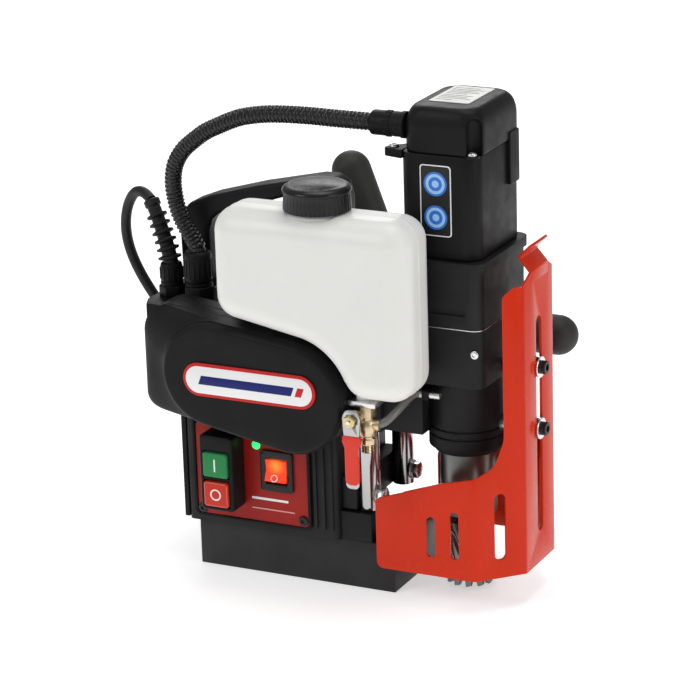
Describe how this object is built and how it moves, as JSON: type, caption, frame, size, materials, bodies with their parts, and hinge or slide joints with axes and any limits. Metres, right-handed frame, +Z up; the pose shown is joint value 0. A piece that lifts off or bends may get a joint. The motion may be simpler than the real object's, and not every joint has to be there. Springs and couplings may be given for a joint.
{
  "type": "magnetic drill press",
  "caption": "Portable drill press on a holding magnet: a motor, gearbox and annular cutter slide on guide rods, with a crank, coolant tank and guard.",
  "frame": {"origin": "centre of the holding magnet's bottom face", "axes": "+Z up along the drill axis; +X forward, to the cutter; the control panel, feed cover and coolant tank are on -Y and the feed handles on +Y"},
  "size_m": [0.3518, 0.2602, 0.3651],
  "materials": {
    "cover_black": "matte",
    "panel_red": "satin",
    "switch_black": "matte",
    "button_green": "gloss",
    "button_red": "gloss",
    "rocker_orange": "gloss",
    "led_green": "gloss",
    "badge_white": "gloss",
    "tank_white": "satin",
    "cap_black": "satin",
    "bracket_steel": "satin",
    "brass": "satin",
    "lever_red": "gloss",
    "guard_red": "gloss",
    "chrome": "polished",
    "steel": "brushed",
    "dark_steel": "satin",
    "screw_zinc": "satin",
    "screw_black": "matte",
    "copper_coil": "satin",
    "board_green": "satin",
    "grip_black": "gloss",
    "label_grey": "gloss",
    "rubber_black": "matte",
    "hose_clear": "gloss",
    "magnet_black": "satin",
    "laminations": "satin",
    "housing_iron": "matte"
  },
  "bodies": {
    "frame": {"magnet_base": "magnet_black", "magnet_coils": "copper_coil", "body_housing": "housing_iron", "rear_cover": "cover_black", "control_panel": "panel_red", "case_screws": "screw_zinc", "switch_box": "switch_black", "rocker_frame": "switch_black", "led_lens": "led_green", "feed_cover_rear": "cover_black", "feed_cover_front": "cover_black", "badge_plate": "badge_white", "carry_handle": "cover_black", "feed_motor": "dark_steel", "control_board": "board_green", "guide_rods": "chrome", "lower_rod_block": "housing_iron", "upper_rod_block": "housing_iron", "coolant_tank": "tank_white", "tank_brackets": "bracket_steel", "valve_body": "brass", "coolant_hose": "hose_clear", "motor_conduit": "rubber_black", "conduit_gland": "cover_black", "cord_gland": "cover_black", "strain_relief": "rubber_black", "power_cord": "rubber_black", "cord_coil": "rubber_black", "cord_plug": "rubber_black"},
    "carriage": {"carriage": "housing_iron", "rod_bushings": "brass", "feed_rack": "steel", "gearbox_housing": "housing_iron", "gearbox_cover": "housing_iron", "motor_housing": "cover_black", "motor_cap": "cover_black", "drive_screws": "screw_zinc", "motor_stator": "laminations", "shaft_bearings": "steel", "head_labels": "label_grey", "guard_mounts": "screw_zinc", "guard_screws": "screw_black", "conduit_connector": "cover_black", "hose_nozzle": "screw_zinc"},
    "armature": {"motor_armature": "laminations"},
    "countershaft": {"countershaft": "steel"},
    "spindle": {"spindle": "steel", "cutter": "dark_steel"},
    "pilot": {"pilot_pin": "screw_zinc"},
    "guard": {"guard": "guard_red"},
    "capstan": {"capstan_hub": "steel", "capstan_spokes": "screw_zinc", "capstan_grips": "grip_black"},
    "feed_pinion": {"feed_pinion": "steel"},
    "start_button": {"start_button": "button_green"},
    "stop_button": {"stop_button": "button_red"},
    "rocker": {"rocker_switch": "rocker_orange"},
    "lever": {"valve_lever": "lever_red"},
    "tank_cap": {"tank_cap": "cap_black"}
  },
  "joints": [
    {"name": "carriage_slide", "type": "slide", "parent": "frame", "child": "carriage", "axis": [0, 0, 1], "range_m": [-0.026, 0.04], "deforming": ["motor_conduit", "coolant_hose"]},
    {"name": "capstan_turn", "type": "hinge", "parent": "frame", "child": "capstan", "pos_m": [0.032, 0, 0.167], "axis": [0, 1, 0], "range_deg": [-230, 150]},
    {"name": "feed_pinion_turn", "type": "hinge", "parent": "frame", "child": "feed_pinion", "pos_m": [0.002, 0, 0.167], "axis": [0, 1, 0], "range_deg": [-224, 345]},
    {"name": "spindle_spin", "type": "hinge", "parent": "carriage", "child": "spindle", "pos_m": [0.122, 0, 0.08], "axis": [0, 0, 1], "continuous": true},
    {"name": "countershaft_spin", "type": "hinge", "parent": "carriage", "child": "countershaft", "pos_m": [0.122, 0.02, 0.2], "axis": [0, 0, 1], "continuous": true},
    {"name": "armature_spin", "type": "hinge", "parent": "carriage", "child": "armature", "pos_m": [0.122, 0, 0.3], "axis": [0, 0, 1], "continuous": true},
    {"name": "pilot_slide", "type": "slide", "parent": "spindle", "child": "pilot", "axis": [0, 0, 1], "range_m": [0, 0.03], "stiffness_N_per_m": 60, "springref_m": -0.02},
    {"name": "guard_slide", "type": "slide", "parent": "carriage", "child": "guard", "axis": [0, 0, 1], "range_m": [-0.02, 0.02]},
    {"name": "start_press", "type": "slide", "parent": "frame", "child": "start_button", "axis": [0, 1, 0], "range_m": [0, 0.003], "stiffness_N_per_m": 900, "springref_m": -0.002},
    {"name": "stop_press", "type": "slide", "parent": "frame", "child": "stop_button", "axis": [0, 1, 0], "range_m": [0, 0.003], "stiffness_N_per_m": 900, "springref_m": -0.002},
    {"name": "rocker_tilt", "type": "hinge", "parent": "frame", "child": "rocker", "pos_m": [-0.009, -0.044, 0.085], "axis": [1, 0, 0], "range_deg": [0, 16]},
    {"name": "lever_turn", "type": "hinge", "parent": "frame", "child": "lever", "pos_m": [0.072, -0.0875, 0.148], "axis": [0, 1, 0], "range_deg": [-90, 0]},
    {"name": "cap_turn", "type": "hinge", "parent": "frame", "child": "tank_cap", "pos_m": [0.043, -0.072, 0.3], "axis": [0, 0, 1], "range_deg": [0, 180]}
  ],
  "couplings": [
    {"joint": "capstan_turn", "follows": "carriage_slide", "rad_per_m": -100},
    {"joint": "feed_pinion_turn", "follows": "carriage_slide", "rad_per_m": 150},
    {"joint": "countershaft_spin", "follows": "spindle_spin", "ratio": -1.8571},
    {"joint": "armature_spin", "follows": "spindle_spin", "ratio": 5.5714}
  ]
}
